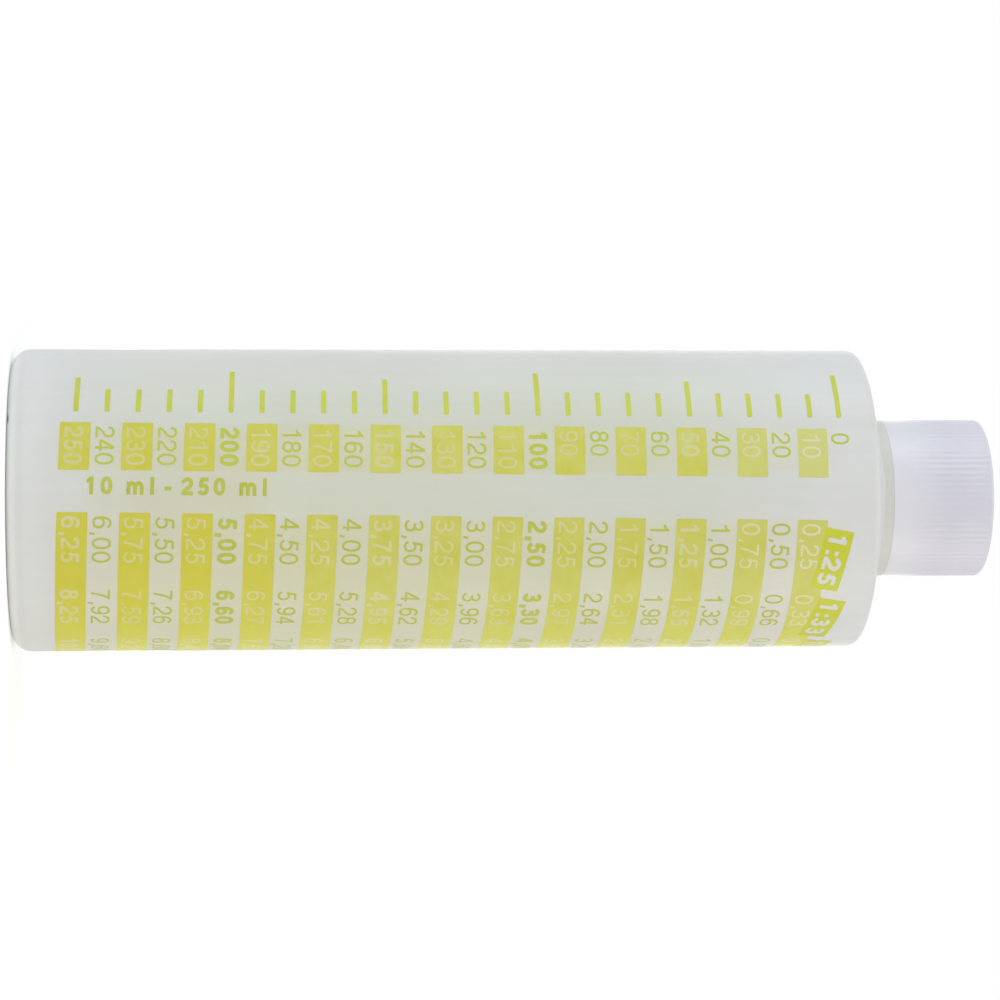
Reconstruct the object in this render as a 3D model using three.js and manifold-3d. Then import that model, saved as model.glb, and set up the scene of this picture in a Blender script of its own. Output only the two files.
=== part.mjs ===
// Oil mixing bottle: a blow-moulded cylinder with a threaded neck, a ribbed screw cap and its sealing liner.
// Millimetres, +Z up. The origin is the centre of the standing ring, and the bottle's axis is Z.
// The front of the bottle, where its scale is read, faces -Y.
import * as THREE from "three";
import { mergeVertices } from "three/addons/utils/BufferGeometryUtils.js";
import Module from "manifold-3d";

const wasm = await Module();
wasm.setup();

// Bottle body
const BODY_DIAMETER = 51.6;
const BODY_HEIGHT = 145.2; // standing ring to the crown of the shoulder's corner
const BODY_WALL = 0.85;
const BASE_WALL = 1.3;
const HEEL_RADIUS = 3.8;
const SHOULDER_RADIUS = 1.4;
const SHOULDER_SLOPE_DEG = 14.5;
const STANDING_RING_WIDTH = 3.5;
const BASE_RISE = 2.6; // how far the middle of the base is pushed up

// Pinch-off groove that the mould leaves across the base, on its parting plane
const PINCH_OFF_WIDTH = 3.0;
const PINCH_OFF_DEPTH = 0.5;
const PARTING_ANGLE_DEG = -34.4; // from the front, towards +X

// Neck finish
const NECK_DIAMETER = 21.6; // at the thread's root
const NECK_HEIGHT = 16.61; // end of the shoulder to the rim
const NECK_WALL = 2.0;
const NECK_RING_INSET = 0.3; // how far the ring under the cap stands back from the foot of the skirt
const NECK_RING_GAP = 0.2; // ring to skirt
const NECK_FILLET = 0.5;
const RIM_CHAMFER = 0.35;

// Thread, one helix on the neck and its match in the cap
const THREAD_PITCH = 3.175;
const THREAD_TURNS = 1.5;
const THREAD_DEPTH = 1.15;
const THREAD_ROOT_WIDTH = 1.8;
const THREAD_CREST_WIDTH = 0.8;
const THREAD_LAND = 1.2; // rim to the thread's first flank
const THREAD_RADIAL_CLEARANCE = 0.3;
const THREAD_FLANK_CLEARANCE = 0.2;
const THREAD_RUN_OUT_DEG = 30; // over which each end of the ridge grows to its full depth

// Cap
const CAP_WALL = 1.05; // bore to the bottom of the grooves
const CAP_TOP = 1.4;
const CAP_EDGE_RADIUS = 0.8;
const CAP_SKIRT_GAP = 1.81; // end of the shoulder to the skirt
const CAP_BEAD_HEIGHT = 1.3; // smooth band at the foot of the skirt
const CAP_BEAD_STEP = 0.05; // how far that band stands out past the ribs
const CAP_LEAD_IN = 0.4;
const RIB_COUNT = 80;
const RIB_DEPTH = 0.3;

// Sealing liner
const LINER_THICKNESS = 1.1;
const LINER_EDGE_CLEARANCE = 0.4; // to the bore of the cap
const SEAT_GAP = 0.1; // liner to rim, and liner to the cap's top

// How finely round shapes are faceted
const BODY_SEGMENTS = 64;
const ARC_STEPS = 5;
const SMALL_ARC_STEPS = 3;
const THREAD_STEPS_PER_TURN = 32;
const THREAD_ROOTING = 0.3; // depth that a ridge reaches into the wall that carries it

// Radii and levels that follow from those sizes
const rad = THREE.MathUtils.degToRad;
const slope = rad(SHOULDER_SLOPE_DEG);
const bodyRadius = BODY_DIAMETER / 2;
const neckRadius = NECK_DIAMETER / 2;
const neckBore = neckRadius - NECK_WALL;
const threadCrest = neckRadius + THREAD_DEPTH;
const cornerLevel = BODY_HEIGHT - SHOULDER_RADIUS;
const cornerCentre = bodyRadius - SHOULDER_RADIUS;
const coneRadius = cornerCentre + SHOULDER_RADIUS * Math.sin(slope);
const coneLevel = cornerLevel + SHOULDER_RADIUS * Math.cos(slope);
const capBore = threadCrest + THREAD_RADIAL_CLEARANCE;
const capThreadCrest = capBore - THREAD_DEPTH;
const grooveRadius = capBore + CAP_WALL;
const ribRadius = grooveRadius + RIB_DEPTH;
const beadRadius = ribRadius + CAP_BEAD_STEP;
const neckRingRadius = beadRadius - NECK_RING_INSET;
const shoulderTop = shoulderLevel(neckRingRadius);
const rimLevel = shoulderTop + NECK_HEIGHT;
const linerLevel = rimLevel + SEAT_GAP;
const capCeiling = linerLevel + LINER_THICKNESS + SEAT_GAP;
const capTopLevel = capCeiling + CAP_TOP;
const skirtLevel = shoulderTop + CAP_SKIRT_GAP;

// Height of the shoulder's cone at a radius.
function shoulderLevel(radius) {
  return coneLevel + (coneRadius - radius) * Math.tan(slope);
}

// Points of an arc in a profile of [radius, height], from one angle to another.
function arc(centre, level, radius, fromDeg, toDeg, steps = ARC_STEPS) {
  return Array.from({ length: steps + 1 }, (_, i) => {
    const angle = rad(fromDeg + ((toDeg - fromDeg) * i) / steps);
    return [centre + radius * Math.cos(angle), level + radius * Math.sin(angle)];
  });
}

// A shallow dome in a profile, from the axis out to the radius where it meets the level it springs from.
function dome(radius, level, rise) {
  const sphere = (radius * radius + rise * rise) / (2 * rise);
  const reach = THREE.MathUtils.radToDeg(Math.asin(radius / sphere));
  return arc(0, level + rise - sphere, sphere, 90, 90 - reach).map(([r, z], i) => [i ? r : 0, z]);
}

// A geometry as a solid that can be joined and cut.
function solid(geometry) {
  const bare = new THREE.BufferGeometry();
  bare.setAttribute("position", geometry.getAttribute("position"));
  bare.setIndex(geometry.index);
  const merged = mergeVertices(bare, 1e-4);
  const kept = [];
  for (let i = 0; i < merged.index.count; i += 3) {
    const [a, b, c] = [0, 1, 2].map((k) => merged.index.getX(i + k));
    if (a !== b && b !== c && c !== a) kept.push(a, b, c);
  }
  return new wasm.Manifold(
    new wasm.Mesh({
      numProp: 3,
      vertProperties: new Float32Array(merged.getAttribute("position").array),
      triVerts: new Uint32Array(kept),
    }),
  );
}

// A solid of revolution about Z from a closed profile of [radius, height].
// The profile is walked with the material on its left.
function revolved(profile) {
  const points = profile.map(([r, z]) => new THREE.Vector2(r, z));
  return solid(new THREE.LatheGeometry(points, BODY_SEGMENTS).rotateX(Math.PI / 2));
}

// A helical ridge about Z that climbs anticlockwise. Its section is a trapezoid from the root radius
// to the crest radius, and its ends sink into the wall that carries it.
function threadRidge(rootRadius, crestRadius, lowLevel) {
  const outward = Math.sign(crestRadius - rootRadius);
  const steps = Math.round(THREAD_STEPS_PER_TURN * THREAD_TURNS);
  const positions = [];
  for (let i = 0; i <= steps; i++) {
    const turned = (i / steps) * THREAD_TURNS * 360;
    const grown = Math.min(1, Math.min(turned, THREAD_TURNS * 360 - turned) / THREAD_RUN_OUT_DEG);
    const crest = rootRadius + outward * THREAD_DEPTH * grown;
    const foot = rootRadius - outward * THREAD_ROOTING;
    const level = lowLevel + (THREAD_PITCH * turned) / 360;
    const section = [
      [foot, level - THREAD_ROOT_WIDTH / 2],
      [crest, level - THREAD_CREST_WIDTH / 2],
      [crest, level + THREAD_CREST_WIDTH / 2],
      [foot, level + THREAD_ROOT_WIDTH / 2],
    ];
    for (const [r, z] of section) {
      positions.push(r * Math.cos(rad(turned)), r * Math.sin(rad(turned)), z);
    }
  }
  const faces = [];
  const quad = (a, b, c, d) => faces.push(a, b, c, a, c, d);
  for (let i = 0; i < steps; i++) {
    for (let k = 0; k < 4; k++) {
      const [here, next] = [4 * i + k, 4 * i + ((k + 1) % 4)];
      quad(here, here + 4, next + 4, next);
    }
  }
  quad(0, 1, 2, 3);
  quad(4 * steps + 3, 4 * steps + 2, 4 * steps + 1, 4 * steps);
  const turnedIn = outward < 0 ? [...faces].reverse() : faces;
  const geometry = new THREE.BufferGeometry();
  geometry.setAttribute("position", new THREE.Float32BufferAttribute(positions, 3));
  geometry.setIndex(turnedIn);
  return solid(geometry);
}

// A named mesh of a finished solid in its own material.
function piece(name, made, look) {
  const { vertProperties, triVerts } = made.getMesh();
  const geometry = new THREE.BufferGeometry();
  geometry.setAttribute("position", new THREE.BufferAttribute(vertProperties, 3));
  geometry.setIndex(new THREE.BufferAttribute(triVerts, 1));
  geometry.computeVertexNormals();
  const mesh = new THREE.Mesh(geometry, new THREE.MeshStandardMaterial(look));
  mesh.name = name;
  return mesh;
}

// The level of the middle of the neck's ridge where it starts, at its lower end.
const neckThreadLow = rimLevel - THREAD_LAND - THREAD_ROOT_WIDTH / 2 - THREAD_PITCH * THREAD_TURNS;

// The cap's ridge hangs under the neck's by the width of both flanks and their clearance.
const flankTaper = (THREAD_ROOT_WIDTH - THREAD_CREST_WIDTH) / 2;
const flankWidth =
  (THREAD_ROOT_WIDTH + THREAD_CREST_WIDTH) / 2 - (THREAD_RADIAL_CLEARANCE / THREAD_DEPTH) * flankTaper;
const capThreadLow = neckThreadLow - flankWidth - THREAD_FLANK_CLEARANCE;

// Bottle: one thin shell from the pushed-up base to the rim, hollow and open at the mouth.
function bottleBody() {
  const ringOuter = bodyRadius - HEEL_RADIUS;
  const ringInner = ringOuter - STANDING_RING_WIDTH;
  const filletCentre = neckRingRadius + NECK_FILLET;
  const filletLevel = shoulderLevel(filletCentre) + NECK_FILLET / Math.cos(slope);
  const ringTop = skirtLevel - NECK_RING_GAP;
  const outside = [
    ...dome(ringInner, 0, BASE_RISE),
    ...arc(ringOuter, HEEL_RADIUS, HEEL_RADIUS, -90, 0),
    ...arc(cornerCentre, cornerLevel, SHOULDER_RADIUS, 0, 90 - SHOULDER_SLOPE_DEG),
    ...arc(filletCentre, filletLevel, NECK_FILLET, -90 - SHOULDER_SLOPE_DEG, -180, SMALL_ARC_STEPS),
    [neckRingRadius, ringTop],
    [neckRadius + NECK_FILLET, ringTop],
    [neckRadius, ringTop + NECK_FILLET],
    [neckRadius, rimLevel - RIM_CHAMFER],
    [neckRadius - RIM_CHAMFER, rimLevel],
  ];
  const innerRadius = bodyRadius - BODY_WALL;
  const innerHeel = HEEL_RADIUS - BODY_WALL;
  const ceilingDrop = BODY_WALL / Math.cos(slope);
  const innerCorner = Math.max(SHOULDER_RADIUS - BODY_WALL, BODY_WALL / 2);
  const innerCornerCentre = innerRadius - innerCorner;
  const innerConeRadius = innerCornerCentre + innerCorner * Math.sin(slope);
  const innerConeLevel = shoulderLevel(innerConeRadius) - ceilingDrop;
  const innerCornerLevel = innerConeLevel - innerCorner * Math.cos(slope);
  const inside = [
    ...dome(ringInner, BASE_WALL, BASE_RISE),
    ...arc(ringOuter, BASE_WALL + innerHeel, innerHeel, -90, 0),
    ...arc(innerCornerCentre, innerCornerLevel, innerCorner, 0, 90 - SHOULDER_SLOPE_DEG, SMALL_ARC_STEPS),
    [neckBore, shoulderLevel(neckBore) - ceilingDrop],
    [neckBore, rimLevel],
  ];
  const shell = revolved([...outside, ...inside.reverse()]);
  const ridge = threadRidge(neckRadius, threadCrest, neckThreadLow);
  return shell.add(ridge).subtract(pinchOffGroove());
}

// A V-shaped groove across the whole base.
function pinchOffGroove() {
  const section = new THREE.Shape([
    new THREE.Vector2(-PINCH_OFF_WIDTH, -PINCH_OFF_DEPTH),
    new THREE.Vector2(PINCH_OFF_WIDTH, -PINCH_OFF_DEPTH),
    new THREE.Vector2(0, PINCH_OFF_DEPTH),
  ]);
  const bar = new THREE.ExtrudeGeometry(section, { depth: BODY_DIAMETER, bevelEnabled: false });
  bar.translate(0, 0, -BODY_DIAMETER / 2);
  bar.rotateX(Math.PI / 2);
  bar.rotateZ(rad(PARTING_ANGLE_DEG));
  return solid(bar);
}

// Cap: a ribbed skirt with a smooth foot, closed at the top, with the thread inside.
function screwCap() {
  const ribs = new THREE.Shape(
    Array.from({ length: 2 * RIB_COUNT }, (_, i) => {
      const angle = (i * Math.PI) / RIB_COUNT;
      const radius = i % 2 ? grooveRadius : ribRadius;
      return new THREE.Vector2(radius * Math.cos(angle), radius * Math.sin(angle));
    }),
  );
  const height = capTopLevel - skirtLevel;
  const edgeCentre = beadRadius - CAP_EDGE_RADIUS;
  const edgeLevel = capTopLevel - CAP_EDGE_RADIUS;
  const ribbed = new THREE.ExtrudeGeometry(ribs, { depth: height, bevelEnabled: false });
  const envelope = revolved([
    [0, skirtLevel],
    [beadRadius, skirtLevel],
    ...arc(edgeCentre, edgeLevel, CAP_EDGE_RADIUS, 0, 90, SMALL_ARC_STEPS),
    [0, capTopLevel],
  ]);
  const bead = revolved([
    [0, skirtLevel],
    [beadRadius, skirtLevel],
    [beadRadius, skirtLevel + CAP_BEAD_HEIGHT],
    [grooveRadius, skirtLevel + CAP_BEAD_HEIGHT + RIB_DEPTH],
    [0, skirtLevel + CAP_BEAD_HEIGHT + RIB_DEPTH],
  ]);
  const bore = revolved([
    [0, skirtLevel - CAP_LEAD_IN],
    [capBore + 2 * CAP_LEAD_IN, skirtLevel - CAP_LEAD_IN],
    [capBore, skirtLevel + CAP_LEAD_IN],
    [capBore, capCeiling],
    [0, capCeiling],
  ]);
  const ridge = threadRidge(capBore, capThreadCrest, capThreadLow);
  const skirt = solid(ribbed.translate(0, 0, skirtLevel)).intersect(envelope).add(bead);
  return skirt.subtract(bore).add(ridge);
}

// Liner: a soft disc held in the top of the cap by the end of the cap's thread, pressed on the rim.
function capLiner() {
  const radius = capBore - LINER_EDGE_CLEARANCE;
  return revolved([
    [0, linerLevel],
    [radius, linerLevel],
    [radius, linerLevel + LINER_THICKNESS],
    [0, linerLevel + LINER_THICKNESS],
  ]);
}

const bottle = new THREE.Group();
bottle.add(
  piece("bottle_body", bottleBody(), { color: 0xd6d6ce, roughness: 0.45, metalness: 0 }),
  piece("cap_liner", capLiner(), { color: 0xf2f1ec, roughness: 0.8, metalness: 0 }),
  piece("screw_cap", screwCap(), { color: 0xdcdce4, roughness: 0.4, metalness: 0 }),
);

export default bottle;
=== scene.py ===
"""An oil mixing bottle: a milky measuring bottle with a printed scale, closed by a ribbed screw cap."""
import math

import bpy
import numpy as np
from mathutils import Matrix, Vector
from mathutils.geometry import delaunay_2d_cdt


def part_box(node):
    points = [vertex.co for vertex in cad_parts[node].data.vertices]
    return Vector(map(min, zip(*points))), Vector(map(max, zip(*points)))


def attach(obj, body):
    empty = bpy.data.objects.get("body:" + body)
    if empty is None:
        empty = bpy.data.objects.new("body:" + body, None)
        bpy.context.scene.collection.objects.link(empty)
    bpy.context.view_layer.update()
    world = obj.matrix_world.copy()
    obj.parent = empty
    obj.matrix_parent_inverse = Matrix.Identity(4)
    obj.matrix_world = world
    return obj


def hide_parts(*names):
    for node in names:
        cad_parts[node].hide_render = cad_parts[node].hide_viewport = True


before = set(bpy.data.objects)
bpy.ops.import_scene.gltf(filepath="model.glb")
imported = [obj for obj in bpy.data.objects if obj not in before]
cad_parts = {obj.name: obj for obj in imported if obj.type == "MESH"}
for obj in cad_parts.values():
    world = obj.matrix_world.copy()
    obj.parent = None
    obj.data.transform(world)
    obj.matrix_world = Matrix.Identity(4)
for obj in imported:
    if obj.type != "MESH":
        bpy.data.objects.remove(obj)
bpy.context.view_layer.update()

mm = 0.001

# Bottle
# One shell of natural polyethylene, blown from a hot tube in a two-part mould, so it is milky and soft-edged.
# The mould pinched the tube shut under the base and left a groove there. The neck was pressed to size, so its
# thread and its rim are the only crisp forms.
bottle_low, bottle_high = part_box("bottle_body")
body_radius = (bottle_high.x - bottle_low.x) / 2
rim_level = bottle_high.z
body_height = 145.2 * mm
body_wall = 0.85 * mm
base_wall = 1.3 * mm
base_rise = 2.6 * mm
heel_round = 3.3 * mm
standing_ring = 4.0 * mm
shoulder_round = 1.4 * mm
shoulder_slope = 14.5
neck_radius = 10.8 * mm
neck_bore = 8.8 * mm
neck_height = 16.682 * mm
ring_radius = 13.63 * mm
ring_height = 1.872 * mm
ring_fillet = 0.5 * mm
ring_round = 0.02 * mm
rim_round = 0.35 * mm
throat_round = 1.0 * mm
pinch_width = 3.0 * mm
pinch_depth = 0.5 * mm
parting_angle = math.radians(-34.4)
standing_rows = 6
bottle_around = 320
tolerance = 0.001 * mm

thread_depth = 1.15 * mm
thread_pitch = 3.175 * mm
thread_turns = 1.5
thread_root = 1.8 * mm
thread_crest = 0.8 * mm
thread_land = 1.2 * mm
thread_run_out = 30 / 360


def arc(centre, level, radius, start, end, count):
    """Points of an arc as (radius, height): centre plus radius, turned from start to end in degrees."""
    turn = np.radians(np.linspace(start, end, count))
    return np.stack([centre + radius * np.cos(turn), level + radius * np.sin(turn)], axis=1)


def dome(radius, level, rise, count):
    """A shallow cap of a sphere as (radius, height), from the axis out to where it meets its springing level.
    The sphere's radius is the square of the reach plus the square of the rise, over twice the rise."""
    sphere = (radius**2 + rise**2) / (2 * rise)
    reach = math.degrees(math.asin(radius / sphere))
    return arc(0, level + rise - sphere, sphere, 90, 90 - reach, count)


def joined(*runs):
    """One profile from runs of points. A number between two runs says how many points fill the gap."""
    parts = [np.atleast_2d(runs[0])]
    for count, run in zip(runs[1::2], runs[2::2]):
        run = np.atleast_2d(run)
        share = np.linspace(0, 1, count + 2)[1:-1, None]
        parts += [parts[-1][-1] * (1 - share) + run[0] * share, run]
    return np.concatenate(parts)


def turned_grid(profile, around):
    """A profile carried round the axis: grids of radius, angle and height, one row for each profile point."""
    angle = np.linspace(0, 2 * math.pi, around, endpoint=False)
    radius, turn = np.meshgrid(profile[:, 0], angle, indexing="ij")
    height = np.repeat(profile[:, 1:], around, axis=1)
    return radius, turn, height


def placed(name, data):
    """An object at the origin that brings a mesh, a lamp or a camera into the scene."""
    made = bpy.data.objects.new(name, data)
    bpy.context.scene.collection.objects.link(made)
    return made


def turned_piece(name, radius, angle, height):
    """A closed mesh from grids of radius, angle and height whose first and last rows are points on the axis.
    The angle starts at the front and grows to +X: x is the radius times its sine, and y is minus the radius
    times its cosine."""
    points = np.stack([radius * np.sin(angle), -radius * np.cos(angle), height], axis=-1)
    rows, around = radius.shape
    vertices = np.concatenate([points[0, :1], points[1:-1].reshape(-1, 3), points[-1, :1]])
    ring = 1 + np.arange((rows - 2) * around).reshape(rows - 2, around)
    after = np.roll(ring, -1, axis=1)
    quads = np.stack([ring[:-1], after[:-1], after[1:], ring[1:]], axis=-1).reshape(-1, 4)
    first_pole = np.stack([np.zeros_like(ring[0]), after[0], ring[0]], axis=-1)
    last_pole = np.stack([ring[-1], after[-1], np.full_like(ring[-1], len(vertices) - 1)], axis=-1)
    mesh = bpy.data.meshes.new(name)
    mesh.from_pydata(vertices.tolist(), [], quads.tolist() + first_pole.tolist() + last_pole.tolist())
    mesh.shade_smooth()
    return placed(name, mesh)


def thread_height(angle, level, low_level):
    """How much of its depth a thread has, from 0 to 1, at an angle and a level.
    The nearest coil of the helix is found, the depth falls off down two flanks with the distance to it, and
    both ends fade in."""
    turn = np.mod(angle - math.pi / 2, 2 * math.pi) / (2 * math.pi)
    coil = np.clip(np.round((level - low_level) / thread_pitch - turn), 0, None)
    turned = turn + coil
    away = np.abs(level - low_level - thread_pitch * turned)
    flank = np.clip((thread_root / 2 - away) / ((thread_root - thread_crest) / 2), 0, 1)
    grown = np.clip(np.minimum(turned, thread_turns - turned) / thread_run_out, 0, 1)
    return flank * flank * (3 - 2 * flank) * grown


slope = math.radians(shoulder_slope)
shoulder_top = rim_level - neck_height
corner_centre = body_radius - shoulder_round
corner_level = body_height - shoulder_round
standing_outer = body_radius - heel_round
standing_inner = standing_outer - standing_ring


def shoulder_level(radius):
    """The height of the shoulder's cone at a radius: the foot of the neck ring less the fall out to there."""
    return shoulder_top - (radius - ring_radius) * math.tan(slope)


fillet_centre = ring_radius + ring_fillet
fillet_level = shoulder_level(fillet_centre) + ring_fillet / math.cos(slope)
ring_top = shoulder_top + ring_height
neck_foot = ring_top + ring_fillet
outside_base = dome(standing_inner, 0, base_rise, 14)
outside_heel = arc(standing_outer, heel_round, heel_round, -90, 0, 16)
inner_heel = heel_round - body_wall
inner_corner = shoulder_round - body_wall
ceiling_drop = body_wall / math.cos(slope)
inner_corner_centre = body_radius - body_wall - inner_corner
inner_corner_level = shoulder_level(inner_corner_centre) - ceiling_drop - inner_corner / math.cos(slope)
throat_centre = neck_bore + throat_round
throat_level = shoulder_level(throat_centre) - ceiling_drop + throat_round / math.cos(slope)

bottle_profile = joined(
    outside_base,
    standing_rows, outside_heel,
    20, arc(corner_centre, corner_level, shoulder_round, 0, 90 - shoulder_slope, 10),
    14, arc(fillet_centre, fillet_level, ring_fillet, -90 - shoulder_slope, -180, 6),
    3, arc(ring_radius - ring_round, ring_top - ring_round, ring_round, 0, 90, 5),
    6, arc(neck_radius + ring_fillet, neck_foot, ring_fillet, -90, -180, 5),
    84, arc(neck_radius - rim_round, rim_level - rim_round, rim_round, 0, 90, 6),
    4, arc(neck_bore + rim_round, rim_level - rim_round, rim_round, 90, 180, 6),
    10, arc(throat_centre, throat_level, throat_round, 180, 270 - shoulder_slope, 7),
    10, arc(inner_corner_centre, inner_corner_level, inner_corner, 90 - shoulder_slope, 0, 6),
    10, arc(standing_outer, base_wall + inner_heel, inner_heel, 0, -90, 9),
    3, dome(standing_inner, base_wall, base_rise, 10)[::-1],
)
radius, angle, height = turned_grid(bottle_profile, bottle_around)

neck_thread_low = rim_level - thread_land - thread_root / 2 - thread_pitch * thread_turns
on_neck = (radius > neck_radius - tolerance) & (height > neck_foot)
radius = radius + np.where(on_neck, thread_depth * thread_height(angle, height, neck_thread_low), 0)

off_parting = np.abs(radius * np.sin(angle - parting_angle))
base_rows = len(outside_base) + standing_rows + len(outside_heel)
under_base = np.arange(len(bottle_profile))[:, None] < base_rows
groove_level = pinch_depth * (1 - off_parting / (pinch_width / 2))
height = np.where(under_base, np.maximum(height, groove_level), height)
bottle = turned_piece("bottle_shell", radius, angle, height)


def node(tree, kind, **values):
    """A shader node of a kind. A value sets the input socket of its name or else the property of its name."""
    made = tree.nodes.new(kind)
    for key, value in values.items():
        socket = made.inputs.get(key.replace("_", " ").title())
        if socket:
            socket.default_value = value
        else:
            setattr(made, key, value)
    return made


def uneven_surface_group():
    """A node group for plastic and ink that are never quite even.
    Two sizes of noise, one of them drawn out along the axis, choose between a pale and a deep tone. A fine
    grain chooses between two roughnesses, and with the drawn-out noise it gives a relief."""
    tree = bpy.data.node_groups.new("Uneven Surface", "ShaderNodeTree")
    for name, kind, start in (
        ("Pale Tone", "NodeSocketColor", (0.8, 0.8, 0.8, 1)),
        ("Deep Tone", "NodeSocketColor", (0.6, 0.6, 0.6, 1)),
        ("Patches Per Metre", "NodeSocketFloat", 50.0),
        ("Streaks Per Metre", "NodeSocketFloat", 400.0),
        ("Grains Per Metre", "NodeSocketFloat", 2000.0),
        ("Streak Share", "NodeSocketFloat", 0.3),
        ("Least Roughness", "NodeSocketFloat", 0.35),
        ("Most Roughness", "NodeSocketFloat", 0.5),
    ):
        tree.interface.new_socket(name, in_out="INPUT", socket_type=kind).default_value = start
    for name, kind in (
        ("Tone", "NodeSocketColor"),
        ("Roughness", "NodeSocketFloat"),
        ("Relief", "NodeSocketFloat"),
    ):
        tree.interface.new_socket(name, in_out="OUTPUT", socket_type=kind)
    given = tree.nodes.new("NodeGroupInput")
    result = tree.nodes.new("NodeGroupOutput")
    place = tree.nodes.new("ShaderNodeTexCoord")
    drawn_out = node(tree, "ShaderNodeMapping", scale=(1, 1, 0.03))
    patches = node(tree, "ShaderNodeTexNoise", detail=3.0, roughness=0.55)
    streaks = node(tree, "ShaderNodeTexNoise", detail=2.0)
    grains = node(tree, "ShaderNodeTexNoise", detail=2.0)
    spread = node(tree, "ShaderNodeMapRange", from_min=0.3, from_max=0.7)
    blend = node(tree, "ShaderNodeMix", data_type="FLOAT")
    tone = node(tree, "ShaderNodeMix", data_type="RGBA")
    gloss = node(tree, "ShaderNodeMix", data_type="FLOAT")
    relief = node(tree, "ShaderNodeMix", data_type="FLOAT")
    link = tree.links.new
    link(place.outputs["Object"], patches.inputs["Vector"])
    link(place.outputs["Object"], grains.inputs["Vector"])
    link(place.outputs["Object"], drawn_out.inputs["Vector"])
    link(drawn_out.outputs["Vector"], streaks.inputs["Vector"])
    link(given.outputs["Patches Per Metre"], patches.inputs["Scale"])
    link(given.outputs["Streaks Per Metre"], streaks.inputs["Scale"])
    link(given.outputs["Grains Per Metre"], grains.inputs["Scale"])
    link(given.outputs["Streak Share"], blend.inputs["Factor"])
    link(patches.outputs["Fac"], blend.inputs["A"])
    link(streaks.outputs["Fac"], blend.inputs["B"])
    link(blend.outputs["Result"], spread.inputs["Value"])
    link(spread.outputs["Result"], tone.inputs["Factor"])
    link(given.outputs["Pale Tone"], tone.inputs["A"])
    link(given.outputs["Deep Tone"], tone.inputs["B"])
    link(tone.outputs["Result"], result.inputs["Tone"])
    link(grains.outputs["Fac"], gloss.inputs["Factor"])
    link(given.outputs["Least Roughness"], gloss.inputs["A"])
    link(given.outputs["Most Roughness"], gloss.inputs["B"])
    link(gloss.outputs["Result"], result.inputs["Roughness"])
    link(given.outputs["Streak Share"], relief.inputs["Factor"])
    link(grains.outputs["Fac"], relief.inputs["A"])
    link(streaks.outputs["Fac"], relief.inputs["B"])
    link(relief.outputs["Result"], result.inputs["Relief"])
    return tree


def bottle_place_group():
    """A node group that says where on the bottle a point is: how high, and how far round to the right.
    The way round is the angle from the front, times the body's radius."""
    tree = bpy.data.node_groups.new("Bottle Place", "ShaderNodeTree")
    for name in ("Level", "Side"):
        tree.interface.new_socket(name, in_out="OUTPUT", socket_type="NodeSocketFloat")
    result = tree.nodes.new("NodeGroupOutput")
    place = tree.nodes.new("ShaderNodeTexCoord")
    axes = tree.nodes.new("ShaderNodeSeparateXYZ")
    front = node(tree, "ShaderNodeMath", operation="MULTIPLY")
    front.inputs[1].default_value = -1
    turn = node(tree, "ShaderNodeMath", operation="ARCTAN2")
    way = node(tree, "ShaderNodeMath", operation="MULTIPLY")
    way.inputs[1].default_value = body_radius
    link = tree.links.new
    link(place.outputs["Object"], axes.inputs["Vector"])
    link(axes.outputs["Y"], front.inputs[0])
    link(axes.outputs["X"], turn.inputs[0])
    link(front.outputs["Value"], turn.inputs[1])
    link(turn.outputs["Value"], way.inputs[0])
    link(axes.outputs["Z"], result.inputs["Level"])
    link(way.outputs["Value"], result.inputs["Side"])
    return tree


def faded_tint_group():
    """A node group that mixes a tint into a tone while a place on the surface goes from a start to an end.
    The tint's share goes from before to after along a smooth step."""
    tree = bpy.data.node_groups.new("Faded Tint", "ShaderNodeTree")
    for name in ("Tone", "Tint"):
        tree.interface.new_socket(name, in_out="INPUT", socket_type="NodeSocketColor")
    for name in ("Place", "Start", "End", "Before", "After"):
        tree.interface.new_socket(name, in_out="INPUT", socket_type="NodeSocketFloat")
    tree.interface.new_socket("Tone", in_out="OUTPUT", socket_type="NodeSocketColor")
    given = tree.nodes.new("NodeGroupInput")
    result = tree.nodes.new("NodeGroupOutput")
    fade = node(tree, "ShaderNodeMapRange", interpolation_type="SMOOTHSTEP")
    mixed = node(tree, "ShaderNodeMix", data_type="RGBA")
    link = tree.links.new
    link(given.outputs["Place"], fade.inputs["Value"])
    link(given.outputs["Start"], fade.inputs["From Min"])
    link(given.outputs["End"], fade.inputs["From Max"])
    link(given.outputs["Before"], fade.inputs["To Min"])
    link(given.outputs["After"], fade.inputs["To Max"])
    link(fade.outputs["Result"], mixed.inputs["Factor"])
    link(given.outputs["Tone"], mixed.inputs["A"])
    link(given.outputs["Tint"], mixed.inputs["B"])
    link(mixed.outputs["Result"], result.inputs["Tone"])
    return tree


uneven_surface = uneven_surface_group()
bottle_place = bottle_place_group()
faded_tint = faded_tint_group()


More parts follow.
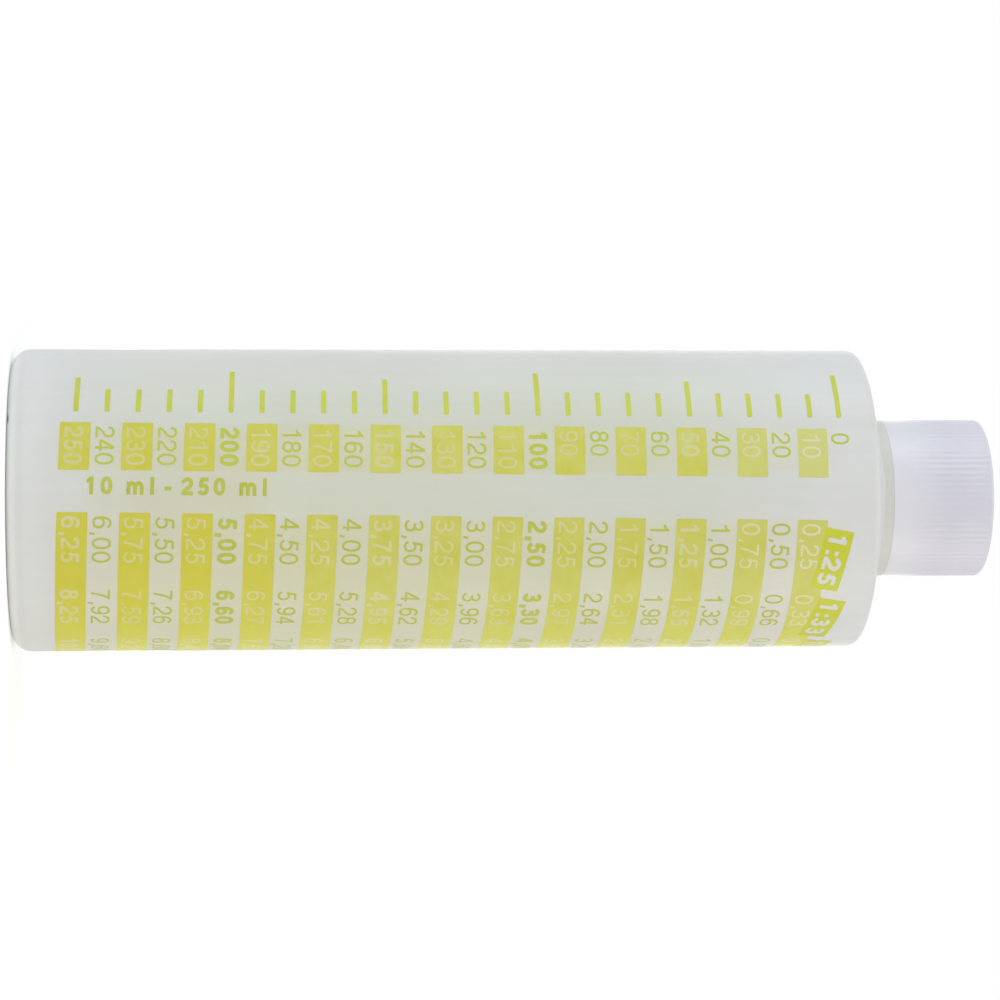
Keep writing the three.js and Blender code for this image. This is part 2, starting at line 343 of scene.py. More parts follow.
def plastic_material(name, tints=(), **finish):
    """A dielectric whose colour, roughness and relief come from the uneven surface group with its own values.
    Each tint is what it fades along, where it starts and ends, its share before and after, and its colour."""
    material = bpy.data.materials.new(name)
    material.use_nodes = True
    tree = material.node_tree
    shader = tree.nodes["Principled BSDF"]
    surface = node(tree, "ShaderNodeGroup", node_tree=uneven_surface, **finish)
    tone = surface.outputs["Tone"]
    for along, start, end, before, after, tint in tints:
        where = node(tree, "ShaderNodeGroup", node_tree=bottle_place)
        tinted = node(tree, "ShaderNodeGroup", node_tree=faded_tint, start=start, end=end, tint=tint)
        tinted.inputs["Before"].default_value = before
        tinted.inputs["After"].default_value = after
        tree.links.new(tone, tinted.inputs["Tone"])
        tree.links.new(where.outputs[along], tinted.inputs["Place"])
        tone = tinted.outputs["Tone"]
    bump = node(tree, "ShaderNodeBump", strength=0.35, distance=0.05 * mm)
    tree.links.new(tone, shader.inputs["Base Color"])
    tree.links.new(surface.outputs["Roughness"], shader.inputs["Roughness"])
    tree.links.new(surface.outputs["Relief"], bump.inputs["Height"])
    tree.links.new(bump.outputs["Normal"], shader.inputs["Normal"])
    return material, shader


natural_polyethylene, shader = plastic_material(
    "natural_polyethylene",
    tints=[
        # Painted light: the wall is painted paler towards the base, most over its lowest 2.4 mm, to lift the
        # contact shade at the heel.
        ("Level", 3 * mm, 9 * mm, 0.13, 0, (0.96, 0.96, 0.94, 1)),
        ("Level", 0.2 * mm, 2.4 * mm, 1, 0, (0.96, 0.96, 0.92, 1)),
    ],
    pale_tone=(0.69, 0.694, 0.68, 1),
    deep_tone=(0.645, 0.645, 0.625, 1),
    patches_per_metre=60.0,
    streaks_per_metre=700.0,
    grains_per_metre=2600.0,
    streak_share=0.35,
    least_roughness=0.38,
    most_roughness=0.55,
)
shader.inputs["Subsurface Weight"].default_value = 0.15
shader.inputs["Subsurface Radius"].default_value = (1.0, 0.95, 0.85)
shader.inputs["Subsurface Scale"].default_value = 0.8 * mm
shader.inputs["IOR"].default_value = 1.52
tree = natural_polyethylene.node_tree
where = node(tree, "ShaderNodeGroup", node_tree=bottle_place)
level, side = where.outputs["Level"], where.outputs["Side"]


def faded(value, start, end, before, after):
    """A value that goes smoothly from before to after while another goes from start to end."""
    fade = node(tree, "ShaderNodeMapRange", interpolation_type="SMOOTHSTEP", from_min=start, from_max=end)
    fade.inputs["To Min"].default_value = before
    fade.inputs["To Max"].default_value = after
    tree.links.new(value, fade.inputs["Value"])
    return fade.outputs["Result"]


def combined(operation, first, *others):
    """One value from several, by the same operation between each and the next."""
    for other in others:
        made = node(tree, "ShaderNodeMath", operation=operation)
        tree.links.new(first, made.inputs[0])
        tree.links.new(other, made.inputs[1])
        first = made.outputs["Value"]
    return first


def between(rise_start, rise_end, fall_start, fall_end):
    """A value that is 1 between two places on the way round the wall and fades to 0 on both sides."""
    risen = faded(side, rise_start, rise_end, 0, 1)
    return combined("MULTIPLY", risen, faded(side, fall_start, fall_end, 1, 0))


def multiplied(tone, factor, tint):
    """A tone multiplied by a tint, by a factor that changes over the surface."""
    mixed = node(tree, "ShaderNodeMix", data_type="RGBA", blend_type="MULTIPLY")
    mixed.inputs["B"].default_value = tint
    tree.links.new(factor, mixed.inputs["Factor"])
    tree.links.new(tone, mixed.inputs["A"])
    return mixed.outputs["Result"]


# The print on the far side shines through the thin wall and tints it, more so between the marks and the
# numbers. Around the figures on this side the wall is painted yellower, a painted glow of light through the
# ink. The neck ring between the shoulder and the cap is painted a little darker, as painted shade.
far_tint = (0.925, 0.945, 0.84, 1)
far_table_tint = (0.945, 0.95, 0.905, 1)
near_glow_tint = (1.0, 0.945, 0.7, 1)
ring_shade_tint = (0.955, 0.95, 0.905, 1)
far_print = combined(
    "MULTIPLY",
    faded(level, 2 * mm, 26 * mm, 0, 1),
    faded(level, 108 * mm, 143 * mm, 1, 0),
    faded(side, -36 * mm, -14 * mm, 0.25, 1),
    faded(side, 54 * mm, 58 * mm, 1, 0.35),
)
far_table = combined(
    "MULTIPLY",
    between(-23 * mm, -16 * mm, -13 * mm, -11 * mm),
    faded(level, 32 * mm, 48 * mm, 0, 1),
    faded(level, 98 * mm, 116 * mm, 1, 0.45),
)
around_numbers = between(-13 * mm, -11.5 * mm, -5 * mm, -3.8 * mm)
around_table = between(2.6 * mm, 4.6 * mm, 54 * mm, 57 * mm)
around_unit_line = combined(
    "MULTIPLY",
    between(-5 * mm, -3.5 * mm, 2.6 * mm, 4.6 * mm),
    faded(level, 12 * mm, 15 * mm, 0, 0.8),
    faded(level, 38 * mm, 46 * mm, 1, 0.45),
    faded(level, 60 * mm, 95 * mm, 1, 0),
)
# Painted glow: the wall around this side's figures is tinted yellower, for light that passes through the ink
# into the wall.
near_print_glow = combined(
    "MULTIPLY",
    combined("MAXIMUM", around_numbers, around_table, around_unit_line),
    faded(level, 7 * mm, 11 * mm, 0, 1),
    faded(level, 16 * mm, 40 * mm, 0.45, 0.7),
    faded(level, 55 * mm, 120 * mm, 1, 0.5),
    faded(level, 134 * mm, 142 * mm, 1, 0),
)
# Painted shade: the neck ring is darkened for the shade between the shoulder and the cap.
ring_shade = faded(level, shoulder_top - 0.1 * mm, shoulder_top + 0.5 * mm, 0, 1)
tone = shader.inputs["Base Color"].links[0].from_socket
tone = multiplied(tone, far_print, far_tint)
tone = multiplied(tone, far_table, far_table_tint)
tone = multiplied(tone, near_print_glow, near_glow_tint)
tone = multiplied(tone, ring_shade, ring_shade_tint)
tree.links.new(tone, shader.inputs["Base Color"])

bottle.data.materials.append(natural_polyethylene)
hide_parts("bottle_body")
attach(bottle, "bottle")

# Scale
# Yellow-green ink, screen-printed on the bottle as it rolled under the stencil, so it runs a little askew.
# A mark for every 10 ml stands beside its number, and every other number is left bare in a printed box.
ink_lift = 0.02 * mm
ink_back = 0.005 * mm
ink_edge = math.radians(60)
ink_step = 1.0 * mm
weld_millimetres = 1e-5
print_middle = 75 * mm
print_skew = -0.0244
print_lean = 0.0132
print_fan = 0.18
print_taper = 0.13
mark_gap = 10
mark_most = 250
mark_spacing = 5.106 * mm
zero_level = 138.57 * mm
zero_drop = 0.19 * mm
mark_left = -14.83 * mm
mark_width = 0.85 * mm
mark_length = 5.05 * mm
longer_marks = {0: 10.1 * mm, 50: 8.05 * mm}
figure_height = 3.11 * mm
figure_drop = 0.11 * mm
figure_advance = 0.77
sign_advances = {",": 0.38, ":": 0.38, " ": 0.38, "-": 0.465, "m": 1.163, "l": 0.31}
bowl_power = 0.9
fine_pen = 0.119
bold_pen = 0.2
bared_pen = 0.17
box_height = 5.05 * mm
box_corner = 0.2 * mm
box_rise = 0.09 * mm
number_left = -11.9 * mm
number_box = (-12.7 * mm, -4.2 * mm)


def bowl(centre, reach, start, end):
    """Part of a slightly squared ring.
    The cosine and the sine of the turn are raised to a power below 1 and multiplied by the reach."""
    turn = np.radians(np.linspace(start, end, 15))
    direction = np.stack([np.cos(turn), np.sin(turn)], axis=1)
    return np.asarray(centre) + np.sign(direction) * np.abs(direction) ** bowl_power * np.asarray(reach)


def bend(start, leaving, arriving, end):
    """A cubic curve from start to end that leaves and arrives towards its two handles."""
    share = np.linspace(0, 1, 11)[:, None]
    ends = np.asarray(start) * (1 - share) ** 3 + np.asarray(end) * share**3
    return ends + 3 * share * (1 - share) * (np.asarray(leaving) * (1 - share) + np.asarray(arriving) * share)


def stroke(path, pen):
    """The outline of a pen stroke: the path moved half a pen to its right, then back along its left."""
    along = np.gradient(path, axis=0)
    across = np.stack([-along[:, 1], along[:, 0]], axis=1) / np.hypot(along[:, 0], along[:, 1])[:, None]
    return np.concatenate([path - across * pen / 2, (path + across * pen / 2)[::-1]])


def figure_outlines(sign, pen):
    """The outlines of one sign, with figures 1 unit tall. Each is a few overlapping strokes of one pen:
    bowls are parts of rings, stems and bars are straight, and tails are bends."""
    wide, waist, mouth = 0.64, 0.535, 0.73
    half = pen / 2
    middle, side = wide / 2, wide / 2 - half
    left, right, foot, head = half, wide - half, half, 1 - half
    stem = 0.48 - half
    post = 0.72 * wide

    def ring(low, high, reach):
        """A whole ring between two heights, as two bowls that overlap a little at the top and the foot."""
        centre, rise = (middle, (low + high) / 2), (high - low) / 2
        return [bowl(centre, (reach, rise), 85, 275), bowl(centre, (reach, rise), -95, 95)]

    def dot(low):
        """A square dot that stands on a height, as one short stroke."""
        return [(0.18 - half, low + half), (0.18 + half, low + half)]

    six = ring(foot, 0.65 - half, side) + [bowl((middle + 0.03, 0.46), (side + 0.03, 0.54 - half), 205, 42)]
    over = bowl((middle, 0.7), (side, 0.3 - half), 185, -20)
    swan_neck = bend(over[-1], (right - 0.03, 0.42), (left + 0.06, 0.34), (left, foot))
    upper, lower = (middle - 0.01, (waist + head) / 2), (middle, (waist + foot) / 2)
    arch = 0.5 - half * 1.5
    shapes = {
        "0": ring(foot, head, side),
        "1": [
            [(stem, 0), (stem, 1)],
            bend((0.12, 0.76), (0.26, 0.77), (stem - 0.05, 0.82), (stem - 0.01, 0.985)),
        ],
        "2": [
            np.concatenate([over, swan_neck[1:]]),
            [(0.02, foot), (wide, foot)],
        ],
        "3": [
            bowl(upper, (side - 0.03, (head - waist) / 2), 165, -92),
            [(middle - 0.13, waist), (middle, waist)],
            bowl(lower, (side, (waist - foot) / 2), 92, -168),
        ],
        "4": [
            [(post, 0), (post, 1)],
            [(0, 0.285), (wide, 0.285)],
            [(post - half / 3, 0.965), (left * 0.6, 0.3)],
        ],
        "5": [
            [(0.16, head), (wide - 0.04, head)],
            [(0.16 + half * 0.6, head), (0.095 + half * 0.6, 0.47)],
            bowl((middle - 0.01, 0.335), (side, 0.335 - half), 150, -160),
        ],
        "6": six,
        "7": [
            [(0.01, head), (wide, head)],
            bend((right, head), (0.4, 0.7), (0.28, 0.38), (0.22 + half / 3, 0)),
        ],
        "8": ring(waist, head, side - 0.03) + ring(foot, waist, side),
        "9": [np.array([wide, 1]) - path for path in six],
        ",": [dot(0), [(0.15 + half / 2, half), (0.1 + half / 2, -0.15)]],
        ":": [dot(0), dot(mouth - pen)],
        "-": [[(0.05, 0.37), (0.42, 0.37)]],
        "l": [[(0.16, 0), (0.16, 1)]],
        "m": [
            [(0.1 + half, 0), (0.1 + half, mouth)],
            bend((0.1 + half, arch), (0.12 + half, mouth + 0.02), (0.56, mouth + 0.04), (0.57, arch)),
            [(0.57, arch + 0.01), (0.57, 0)],
            bend((0.57, arch), (0.59, mouth + 0.02), (1.03 - half, mouth + 0.04), (1.04 - half, arch)),
            [(1.04 - half, arch + 0.01), (1.04 - half, 0)],
        ],
        " ": [],
    }
    return [stroke(np.asarray(path, float), pen) for path in shapes[sign]]


def line_outlines(text, pen, tall, track=1.0):
    """The outlines of a line of signs from its left end on the baseline.
    Each sign is moved on by the advances of those before it, times the track."""
    starts = np.cumsum([0.0] + [track * sign_advances.get(sign, figure_advance) for sign in text])
    return [
        (outline + (start, 0)) * tall
        for sign, start in zip(text, starts)
        for outline in figure_outlines(sign, pen)
    ]


def printed_box(left, right, low, high):
    """An upright box whose corners the ink has rounded: a quarter of a circle about each corner's centre."""
    turn = np.radians(np.arange(-90, 270).reshape(4, 90)[:, [0, 30, 60, 89]] + [0, 0, 0, 1])
    centre = np.array([(right, low), (right, high), (left, high), (left, low)])
    inwards = np.array([(-1, 1), (-1, -1), (1, -1), (1, 1)]) * box_corner
    quarters = (centre + inwards)[:, None] + box_corner * np.stack([np.cos(turn), np.sin(turn)], axis=-1)
    return quarters.reshape(-1, 2)


def ink_patch(inked, bared=()):
    """Corners and triangles of flat ink that covers some outlines and leaves others bare.
    All the outlines, and upright cuts one step apart, are triangulated together, in millimetres. A triangle
    stays if it lies in an inked outline and in no bared one. The cuts let the ink bend round the bottle."""
    outlines = [*inked, *bared]
    corners = np.concatenate(outlines)
    low, high = corners.min(axis=0), corners.max(axis=0)
    across = np.arange(math.ceil(low[0] / ink_step), math.floor(high[0] / ink_step) + 1) * ink_step
    cut_ends = np.stack([np.repeat(across, 2), np.tile([low[1], high[1]], len(across))], axis=1)
    points = np.concatenate([corners, cut_ends]) / mm
    firsts = np.cumsum([0] + [len(outline) for outline in outlines])
    faces = [list(range(start, end)) for start, end in zip(firsts[:-1], firsts[1:])]
    cuts = (firsts[-1] + np.arange(2 * len(across))).reshape(-1, 2).tolist()
    found = delaunay_2d_cdt([Vector(point) for point in points.tolist()], cuts, faces, 0, weld_millimetres)
    kept = [
        triangle
        for triangle, owners in zip(found[2], found[5])
        if owners and min(owners) < len(inked) and max(owners) < len(inked)
    ]
    return np.array([tuple(point) for point in found[0]]) * mm, np.array(kept)


def ink_piece(name, patches):
    """A thin closed layer of ink from flat patches, wrapped on the bottle's wall.
    The print leans, is skewed and fans out a little: the arc grows with height, the more the further right it
    is, and the height falls with the arc and spreads from the middle with it. The arc over the radius is the
    angle from the front. The layer has a face and a back just outside the wall, joined by a rim along each
    edge that only one triangle has."""
    flat = np.concatenate([corners for corners, _ in patches])
    firsts = np.cumsum([0] + [len(corners) for corners, _ in patches])
    triangles = np.concatenate([faces + first for (_, faces), first in zip(patches, firsts)])
    arc_length = flat[:, 0] + (print_lean + print_fan * flat[:, 0]) * (flat[:, 1] - print_middle)
    turn = arc_length / body_radius
    level = flat[:, 1] + arc_length * (print_skew + print_taper * (flat[:, 1] - print_middle))
    used, inverse = np.unique(triangles, return_inverse=True)
    face = inverse.reshape(-1, 3)
    edges = np.concatenate([face[:, [0, 1]], face[:, [1, 2]], face[:, [2, 0]]])
    shared = np.isin(edges @ (len(used), 1), edges @ (1, len(used)))
    rim = np.concatenate([edges[~shared, ::-1], edges[~shared] + len(used)], axis=1)
    back = face[:, ::-1] + len(used)
    shell = np.repeat(body_radius + np.array([ink_lift, ink_back]), len(used))
    turn, level = np.tile(turn[used], 2), np.tile(level[used], 2)
    points = np.stack([shell * np.sin(turn), -shell * np.cos(turn), level], axis=1)
    mesh = bpy.data.meshes.new(name)
    mesh.from_pydata(points.tolist(), [], face.tolist() + back.tolist() + rim.tolist())
    mesh.shade_smooth()
    mesh.set_sharp_from_angle(angle=ink_edge)
    return placed(name, mesh)


def mark_level(amount):
    """The level of the mark for an amount in millilitres: each step up in amount is one spacing down.
    The first step is a little shorter."""
    return zero_level - amount / mark_gap * mark_spacing - (0 if amount else zero_drop)


def mark_outline(amount):
    """A mark with bluntly rounded ends that runs left from the common edge.
    Fifties are longer and hundreds longest. The ends are half ellipses, half as long as they are wide."""
    length = longer_marks.get(amount % 100, mark_length)
    level, half = mark_level(amount), mark_width / 2
    ends = np.radians(np.linspace(90, 270, 9))
    blunt = np.stack([np.cos(ends) * half / 2, np.sin(ends) * half], axis=1)
    left_end = blunt + (mark_left - length + half / 2, level)
    right_end = -blunt + (mark_left - half / 2, level)
    return np.concatenate([left_end, right_end])


def is_boxed(amount):
    """Every other amount, counted from the fullest, is bare in a printed box."""
    return (mark_most - amount) % (2 * mark_gap) == 0 and amount > 0


def pen_for(amount):
    """Fifties are printed bold and other amounts fine. Ink closes in on bold figures that are left bare."""
    if amount % 50 or not amount:
        return fine_pen
    return bared_pen if is_boxed(amount) else bold_pen


def number_outlines(amount, text, left):
    """A number whose figures are centred a little under the mark of its amount."""
    place = (left, mark_level(amount) - figure_drop - figure_height / 2)
    return [outline + place for outline in line_outlines(text, pen_for(amount), figure_height)]


amounts = range(0, mark_most + 1, mark_gap)
ink_marks = ink_piece("ink_marks", [ink_patch([mark_outline(amount)]) for amount in amounts])

plain_numbers, boxed_numbers, filmed_figures = [], [], []
for amount in amounts:
    figures = number_outlines(amount, str(amount), number_left)
    low = mark_level(amount) + box_rise - box_height / 2
    if is_boxed(amount):
        boxed_numbers.append(ink_patch([printed_box(*number_box, low, low + box_height)], figures))
        filmed_figures.append(ink_patch(figures))
    else:
        plain_numbers.append(ink_patch(figures))
ink_numbers = ink_piece("ink_plain_numbers", plain_numbers)
ink_boxes = ink_piece("ink_boxed_numbers", boxed_numbers)

# Unit line
# A short bold line in the same ink, printed up the bottle between the scale and the table. It gives the range
# of the scale.
unit_text = "10 ml - 250 ml"
unit_low = 12.9 * mm
unit_length = 29.45 * mm
unit_height = 2.95 * mm
unit_pen = 0.21
unit_baseline = -0.15 * mm
unit_flat = np.concatenate(line_outlines(unit_text, unit_pen, unit_height))
unit_track = unit_length / (unit_flat[:, 0].max() - unit_flat[:, 0].min())
unit_outlines = [
    np.stack([unit_baseline - outline[:, 1], unit_low + outline[:, 0]], axis=1)
    for outline in line_outlines(unit_text, unit_pen, unit_height, unit_track)
]
ink_unit = ink_piece("ink_unit_line", [ink_patch(unit_outlines)])

# Ratio flags
# At the top of each table column a tilted flag of heavier ink carries the column's ratio as bare figures. The
# flags were drawn with the table on one stencil, so the table's top band stops where a flag stands on it.
ratios = (25, 33, 40, 50)
column_pitch = 13.2 * mm
flag_length = 11.15 * mm
flag_height = 4.85 * mm
flag_tilt = math.radians(-10.0)
flag_middle = (9.95 * mm, 137.3 * mm)
flag_figure = 3.2 * mm
flag_pen = 0.215
flag_track = 0.98
flag_stretch = 1.2


def tilted(outline, middle):
    """An outline turned by the flags' tilt about the origin, then moved to a flag's middle."""
    turn = np.array([[math.cos(flag_tilt), math.sin(flag_tilt)], [-math.sin(flag_tilt), math.cos(flag_tilt)]])
    return outline @ turn + middle


flag_fields, flag_patches = [], []
for column, ratio in enumerate(ratios):
    middle = np.array(flag_middle) + (column * column_pitch, 0)
    figures = line_outlines(f"1:{ratio}", flag_pen, flag_figure, flag_track)
    corners = np.concatenate(figures)
    centring = (corners.min(axis=0) + corners.max(axis=0)) / 2
    bared = [tilted((outline - centring) * (flag_stretch, 1), middle) for outline in figures]
    flag_fields.append(
        tilted(printed_box(-flag_length / 2, flag_length / 2, -flag_height / 2, flag_height / 2), middle)
    )
    flag_patches.append(ink_patch([flag_fields[-1]], bared))
ink_flags = ink_piece("ink_ratio_flags", flag_patches)

# Mixing table
# Four columns in the same ink give the litres of fuel that take each amount of oil, one for each ratio. The
# boxed rows of the scale run on through the table as bands, and a film of ink has crept into all the figures
# that are left bare in boxes and bands.
column_left = 3.5 * mm
band_left = 2.85 * mm
band_right = 54.5 * mm

plain_rows, banded_rows = [], []
for amount in amounts[1:]:
    figures = [
        outline
        for column, ratio in enumerate(ratios)
        for outline in number_outlines(
            amount, f"{amount * ratio / 1000:.2f}".replace(".", ","), column_left + column * column_pitch
        )
    ]
    low = mark_level(amount) + box_rise - box_height / 2
    if is_boxed(amount):
        under_flags = flag_fields if amount == mark_gap else []
        band = printed_box(band_left, band_right, low, low + box_height)
        banded_rows.append(ink_patch([band], figures + under_flags))
        filmed_figures.append(ink_patch(figures, under_flags))
    else:
        plain_rows.append(ink_patch(figures))
ink_rows = ink_piece("ink_plain_rows", plain_rows)
ink_bands = ink_piece("ink_banded_rows", banded_rows)
ink_films = ink_piece("ink_filmed_figures", filmed_figures)

# The stencil gave boxes and bands more ink towards the base and less towards the cap. So the ink is ochre
# where it is thick and a pale yellow-green where it is thin. Towards the table's right, where the wall turns
# away from the front, the bands, rows and filmed figures are painted paler and yellower: a painted sheen.
ochre = (0.6, 0.535, 0.01, 1)
weak = (0.6, 0.605, 0.21, 1)
box_tints = [("Level", 30 * mm, 66 * mm, 0.4, 0, ochre), ("Level", 112 * mm, 136 * mm, 0, 0.75, weak)]
band_ink_and_sheen_tints = [
    ("Level", 30 * mm, 66 * mm, 0.7, 0, ochre),
    ("Level", 112 * mm, 136 * mm, 0, 0.25, weak),
    # Painted sheen: the bands pale towards the table's right, where the wall turns away.
    ("Side", 14 * mm, 36 * mm, 0, 0.65, (0.68, 0.675, 0.07, 1)),
]
# Painted sheen: the rows pale towards the table's right, where the wall turns away.
row_sheen_tints = [("Side", 22 * mm, 34 * mm, 0, 0.5, (0.57, 0.595, 0.16, 1))]
film_ink_and_sheen_tints = [
    # Painted sheen: the filmed figures pale towards the table's right, where the wall turns away.
    ("Side", 26 * mm, 34 * mm, 0, 1, (0.68, 0.665, 0.38, 1)),
    ("Level", 112 * mm, 136 * mm, 0, 0.55, (0.725, 0.7, 0.53, 1)),
]
inks = {}
for name, tints, pale_tone, deep_tone, patches in (
    ("printing_ink_marks", [], (0.555, 0.59, 0.05, 1), (0.49, 0.535, 0.022, 1), 160.0),
    ("printing_ink_numbers", [], (0.51, 0.56, 0.06, 1), (0.45, 0.51, 0.03, 1), 160.0),
    ("printing_ink_boxes", box_tints, (0.6, 0.61, 0.15, 1), (0.56, 0.535, 0.04, 1), 260.0),
    ("printing_ink_rows", row_sheen_tints, (0.48, 0.515, 0.06, 1), (0.43, 0.465, 0.03, 1), 160.0),
    ("printing_ink_bands", band_ink_and_sheen_tints, (0.58, 0.587, 0.142, 1), (0.535, 0.515, 0.045, 1), 200.0),
    ("printing_ink_flags", [], (0.565, 0.6, 0.04, 1), (0.525, 0.54, 0.008, 1), 140.0),
    ("printing_ink_film", film_ink_and_sheen_tints, (0.63, 0.605, 0.335, 1), (0.6, 0.567, 0.205, 1), 200.0),
):
    inks[name], _ = plastic_material(
        name,
        tints,
        pale_tone=pale_tone,
        deep_tone=deep_tone,
        patches_per_metre=patches,
        streaks_per_metre=250.0,
        grains_per_metre=3500.0,
        streak_share=0.2,
        least_roughness=0.38,
        most_roughness=0.55,
    )
for printed, ink in (
    (ink_marks, "printing_ink_marks"),
    (ink_numbers, "printing_ink_numbers"),
    (ink_boxes, "printing_ink_boxes"),
    (ink_unit, "printing_ink_rows"),
    (ink_rows, "printing_ink_rows"),
    (ink_bands, "printing_ink_bands"),
    (ink_films, "printing_ink_film"),
    (ink_flags, "printing_ink_flags"),
):
    printed.data.materials.append(inks[ink])
    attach(printed, "bottle")

# Liner
# A disc stamped from foamed polyethylene sheet and pressed into the top of the cap, to seal on the rim. Its
# cut edge is slightly rounded, and its face shows fine closed cells.
liner_low, liner_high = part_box("cap_liner")
liner_radius = (liner_high.x - liner_low.x) / 2
liner_edge = 0.25 * mm
liner_around = 128
liner_profile = joined(
    (0, liner_low.z),
    10, arc(liner_radius - liner_edge, liner_low.z + liner_edge, liner_edge, -90, 0, 5),
    2, arc(liner_radius - liner_edge, liner_high.z - liner_edge, liner_edge, 0, 90, 5),
    10, (0, liner_high.z),
)
liner = turned_piece("foam_liner", *turned_grid(liner_profile, liner_around))
liner_foam, _ = plastic_material(
    "liner_foam",
    pale_tone=(0.83, 0.83, 0.8, 1),
    deep_tone=(0.74, 0.74, 0.7, 1),
    patches_per_metre=400.0,
    streaks_per_metre=900.0,
    grains_per_metre=5000.0,
    streak_share=0.1,
    least_roughness=0.6,
    most_roughness=0.85,
)
liner.data.materials.append(liner_foam)
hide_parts("cap_liner")
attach(liner, "seal")

# Cap
# White polypropylene, injection-moulded in one shot with its thread. Its fine, even ribs are shallow and die
# out towards a smooth band round the foot of the skirt. A small mark in the middle of the top is where the
# mould fed.
cap_low, cap_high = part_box("screw_cap")
cap_radius = (cap_high.x - cap_low.x) / 2
thread_clearance = 0.3 * mm
flank_clearance = 0.2 * mm
seat_gap = 0.1 * mm
cap_bore = neck_radius + thread_depth + thread_clearance
cap_ceiling = liner_high.z + seat_gap
cap_edge = 0.8 * mm
skirt_round = 0.25 * mm
skirt_lead_in = 0.4 * mm
foot_round = 0.02 * mm
band_height = 1.35 * mm
rib_count = 80
rib_depth = 0.085 * mm
rib_growth = 7 * mm
rib_samples = 8
gate_radius = 1.6 * mm
gate_depth = 0.15 * mm

flank_taper = (thread_root - thread_crest) / 2
flank_width = (thread_root + thread_crest) / 2 - thread_clearance / thread_depth * flank_taper
cap_thread_low = neck_thread_low - flank_width - flank_clearance
cap_profile = joined(
    (0, cap_ceiling),
    6, arc(cap_bore - skirt_round, cap_ceiling - skirt_round, skirt_round, 90, 0, 4),
    76, (cap_bore, cap_low.z + skirt_lead_in),
    2, (cap_bore + skirt_lead_in, cap_low.z),
    2, arc(cap_radius - foot_round, cap_low.z + foot_round, foot_round, -90, 0, 5),
    3, (cap_radius, cap_low.z + band_height),
    16, arc(cap_radius - cap_edge, cap_high.z - cap_edge, cap_edge, 0, 90, 10),
    6, (gate_radius + gate_depth, cap_high.z),
    2, (gate_radius, cap_high.z - gate_depth),
    2, (0, cap_high.z - gate_depth),
)
radius, angle, height = turned_grid(cap_profile, rib_count * rib_samples)

in_bore = np.isclose(radius, cap_bore) & (height < cap_ceiling - skirt_round)
radius = radius - np.where(in_bore, thread_depth * thread_height(angle, height, cap_thread_low), 0)

ribs_start = np.clip((height - cap_low.z - band_height) / rib_growth, 0, 1)
ribs_end = np.clip((cap_high.z - height) / cap_edge, 0, 1)
groove = 0.5 - 0.5 * np.cos(rib_count * angle)
on_skirt = radius > cap_radius - cap_edge - tolerance
radius = radius - np.where(on_skirt, rib_depth * groove * ribs_start * ribs_end, 0)
cap = turned_piece("ribbed_cap", radius, angle, height)

white_polypropylene, shader = plastic_material(
    "white_polypropylene",
    # Painted light: the cap is painted paler over its lowest 10 mm, to lift the shade in the gap at its foot.
    tints=[("Level", cap_low.z, cap_low.z + 10 * mm, 1, 0, (0.735, 0.727, 0.765, 1))],
    pale_tone=(0.67, 0.66, 0.724, 1),
    deep_tone=(0.64, 0.626, 0.694, 1),
    patches_per_metre=120.0,
    streaks_per_metre=500.0,
    grains_per_metre=3000.0,
    streak_share=0.15,
    least_roughness=0.3,
    most_roughness=0.45,
)
shader.inputs["Subsurface Weight"].default_value = 0.15
shader.inputs["Subsurface Radius"].default_value = (1.0, 1.0, 1.0)
shader.inputs["Subsurface Scale"].default_value = 0.5 * mm
cap.data.materials.append(white_polypropylene)
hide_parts("screw_cap")
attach(cap, "cap")

# Studio
# A pale floor and an even white surround, with broad soft lamps: a cool and a warm one at the sides, a low
# one in front, one above and one behind. The photograph shows the bottle on its side, so the camera stands at
# the bottle's front and is rolled over.
floor_size = 6.0
near_lift, far_lift = 0.26, 0.7
lift_start, lift_end = 0.15, 0.5
surround_strength = 0.585
floor_mesh = bpy.data.meshes.new("studio_floor")
floor_corners = [(-1, -1, 0), (1, -1, 0), (1, 1, 0), (-1, 1, 0)]
floor_mesh.from_pydata((np.array(floor_corners) * floor_size / 2).tolist(), [], [(0, 1, 2, 3)])
floor = placed("studio_floor", floor_mesh)


def shown_directly(tree):
    """A value of 1 for rays from the camera, in a reflection or through something clear, and otherwise 0."""
    ray = tree.nodes.new("ShaderNodeLightPath")
    mirrored = node(tree, "ShaderNodeMath", operation="ADD")
    shown = node(tree, "ShaderNodeMath", operation="ADD", use_clamp=True)
    tree.links.new(ray.outputs["Is Glossy Ray"], mirrored.inputs[0])
    tree.links.new(ray.outputs["Is Transmission Ray"], mirrored.inputs[1])
    tree.links.new(ray.outputs["Is Camera Ray"], shown.inputs[0])
    tree.links.new(mirrored.outputs["Value"], shown.inputs[1])
    return shown.outputs["Value"]


floor_paint = bpy.data.materials.new("studio_floor_paint")
floor_paint.use_nodes = True
tree = floor_paint.node_tree
shader = tree.nodes["Principled BSDF"]
shader.inputs["Base Color"].default_value = (0.92, 0.92, 0.92, 1)
shader.inputs["Roughness"].default_value = 0.9
shader.inputs["Specular IOR Level"].default_value = 0.0
shader.inputs["Emission Color"].default_value = (1, 1, 1, 1)
place = tree.nodes.new("ShaderNodeTexCoord")
away = node(tree, "ShaderNodeVectorMath", operation="LENGTH")
tree.links.new(place.outputs["Object"], away.inputs[0])
lift = faded(away.outputs["Value"], lift_start, lift_end, near_lift, far_lift)
lifted = combined("MULTIPLY", shown_directly(tree), lift)
tree.links.new(lifted, shader.inputs["Emission Strength"])
floor_mesh.materials.append(floor_paint)

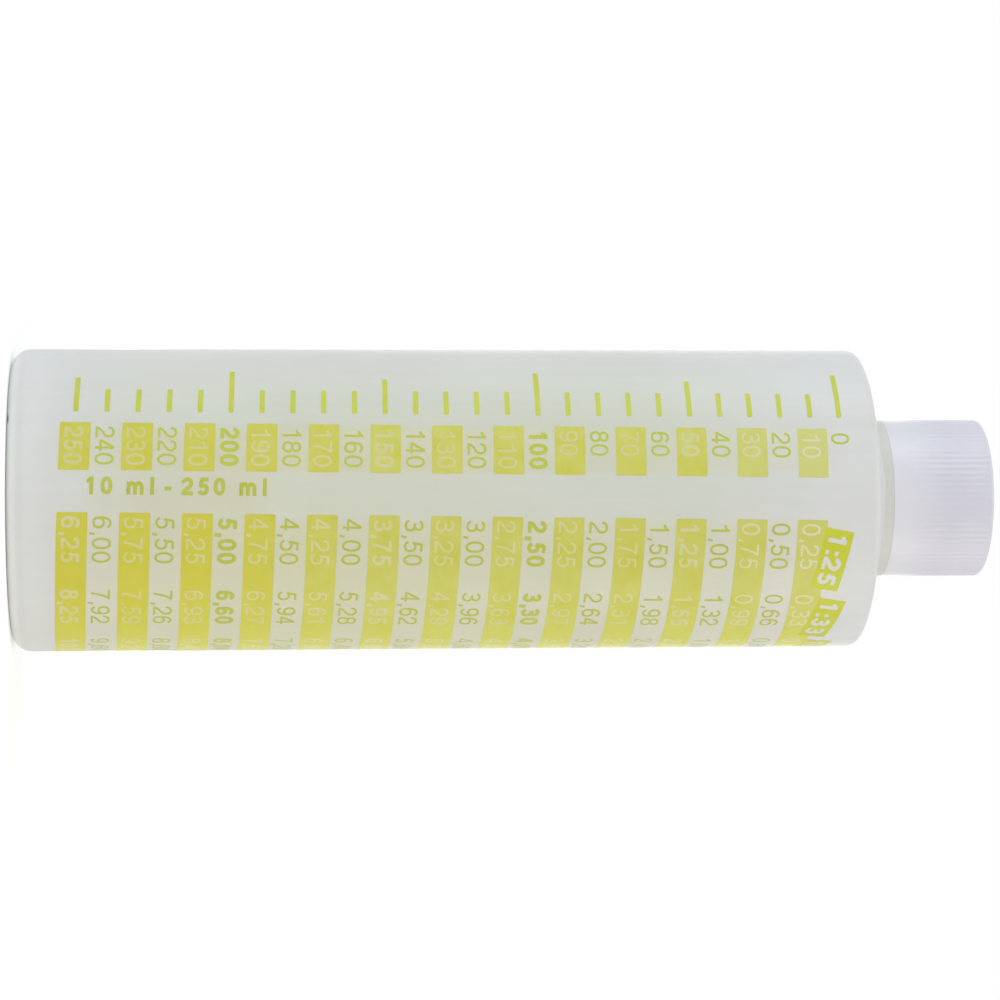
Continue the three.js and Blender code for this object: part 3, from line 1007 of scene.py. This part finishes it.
surround = bpy.data.worlds.new("white_surround")
bpy.context.scene.world = surround
surround.use_nodes = True
tree = surround.node_tree
lit = tree.nodes["Background"]
lit.inputs["Color"].default_value = (1, 1, 1, 1)
lit.inputs["Strength"].default_value = surround_strength
seen = node(tree, "ShaderNodeBackground", color=(1, 1, 1, 1), strength=1.0)
choice = tree.nodes.new("ShaderNodeMixShader")
tree.links.new(shown_directly(tree), choice.inputs["Fac"])
tree.links.new(lit.outputs["Background"], choice.inputs[1])
tree.links.new(seen.outputs["Background"], choice.inputs[2])
tree.links.new(choice.outputs["Shader"], tree.nodes["World Output"].inputs["Surface"])

lamp_target = Vector((0, 0, 80 * mm))
for name, place, width, height, power, tint in (
    ("cool_lamp", (-0.97, -0.26, 0.3), 0.6, 0.55, 2.6, (0.76, 0.88, 1.0)),
    ("warm_lamp", (0.97, -0.26, 0.3), 0.6, 0.55, 2.0, (1.0, 0.96, 0.87)),
    ("front_lamp", (0, -1.15, 0.09), 1.4, 0.16, 2.0, (1.0, 1.0, 0.99)),
    ("top_lamp", (0, -0.25, 1.35), 0.8, 0.8, 3.7, (1.0, 1.0, 1.0)),
    ("back_lamp", (0, 1.15, 0.3), 1.0, 0.4, 2.3, (1.0, 1.0, 1.0)),
):
    lamp = bpy.data.lights.new(name, "AREA")
    lamp.shape = "RECTANGLE"
    lamp.size = width
    lamp.size_y = height
    lamp.energy = power
    lamp.color = tint
    holder = placed(name, lamp)
    holder.location = place
    holder.rotation_euler = (lamp_target - Vector(place)).to_track_quat("-Z", "Y").to_euler()

camera_place = (0.00016, -0.55588, 0.03152)
camera_tilt = 5.339
camera_roll = 89.854
focal_pixels = 3225.08
image_pixels = 1000
lens = bpy.data.cameras.new("photo_camera")
lens.sensor_width = 36.0
lens.lens = lens.sensor_width * focal_pixels / image_pixels
camera = placed("photo_camera", lens)
camera.rotation_mode = "ZXY"
camera.location = camera_place
camera.rotation_euler = (math.radians(90 + camera_tilt), 0, math.radians(camera_roll))
bpy.context.scene.camera = camera
bpy.context.scene.view_settings.view_transform = "Standard"
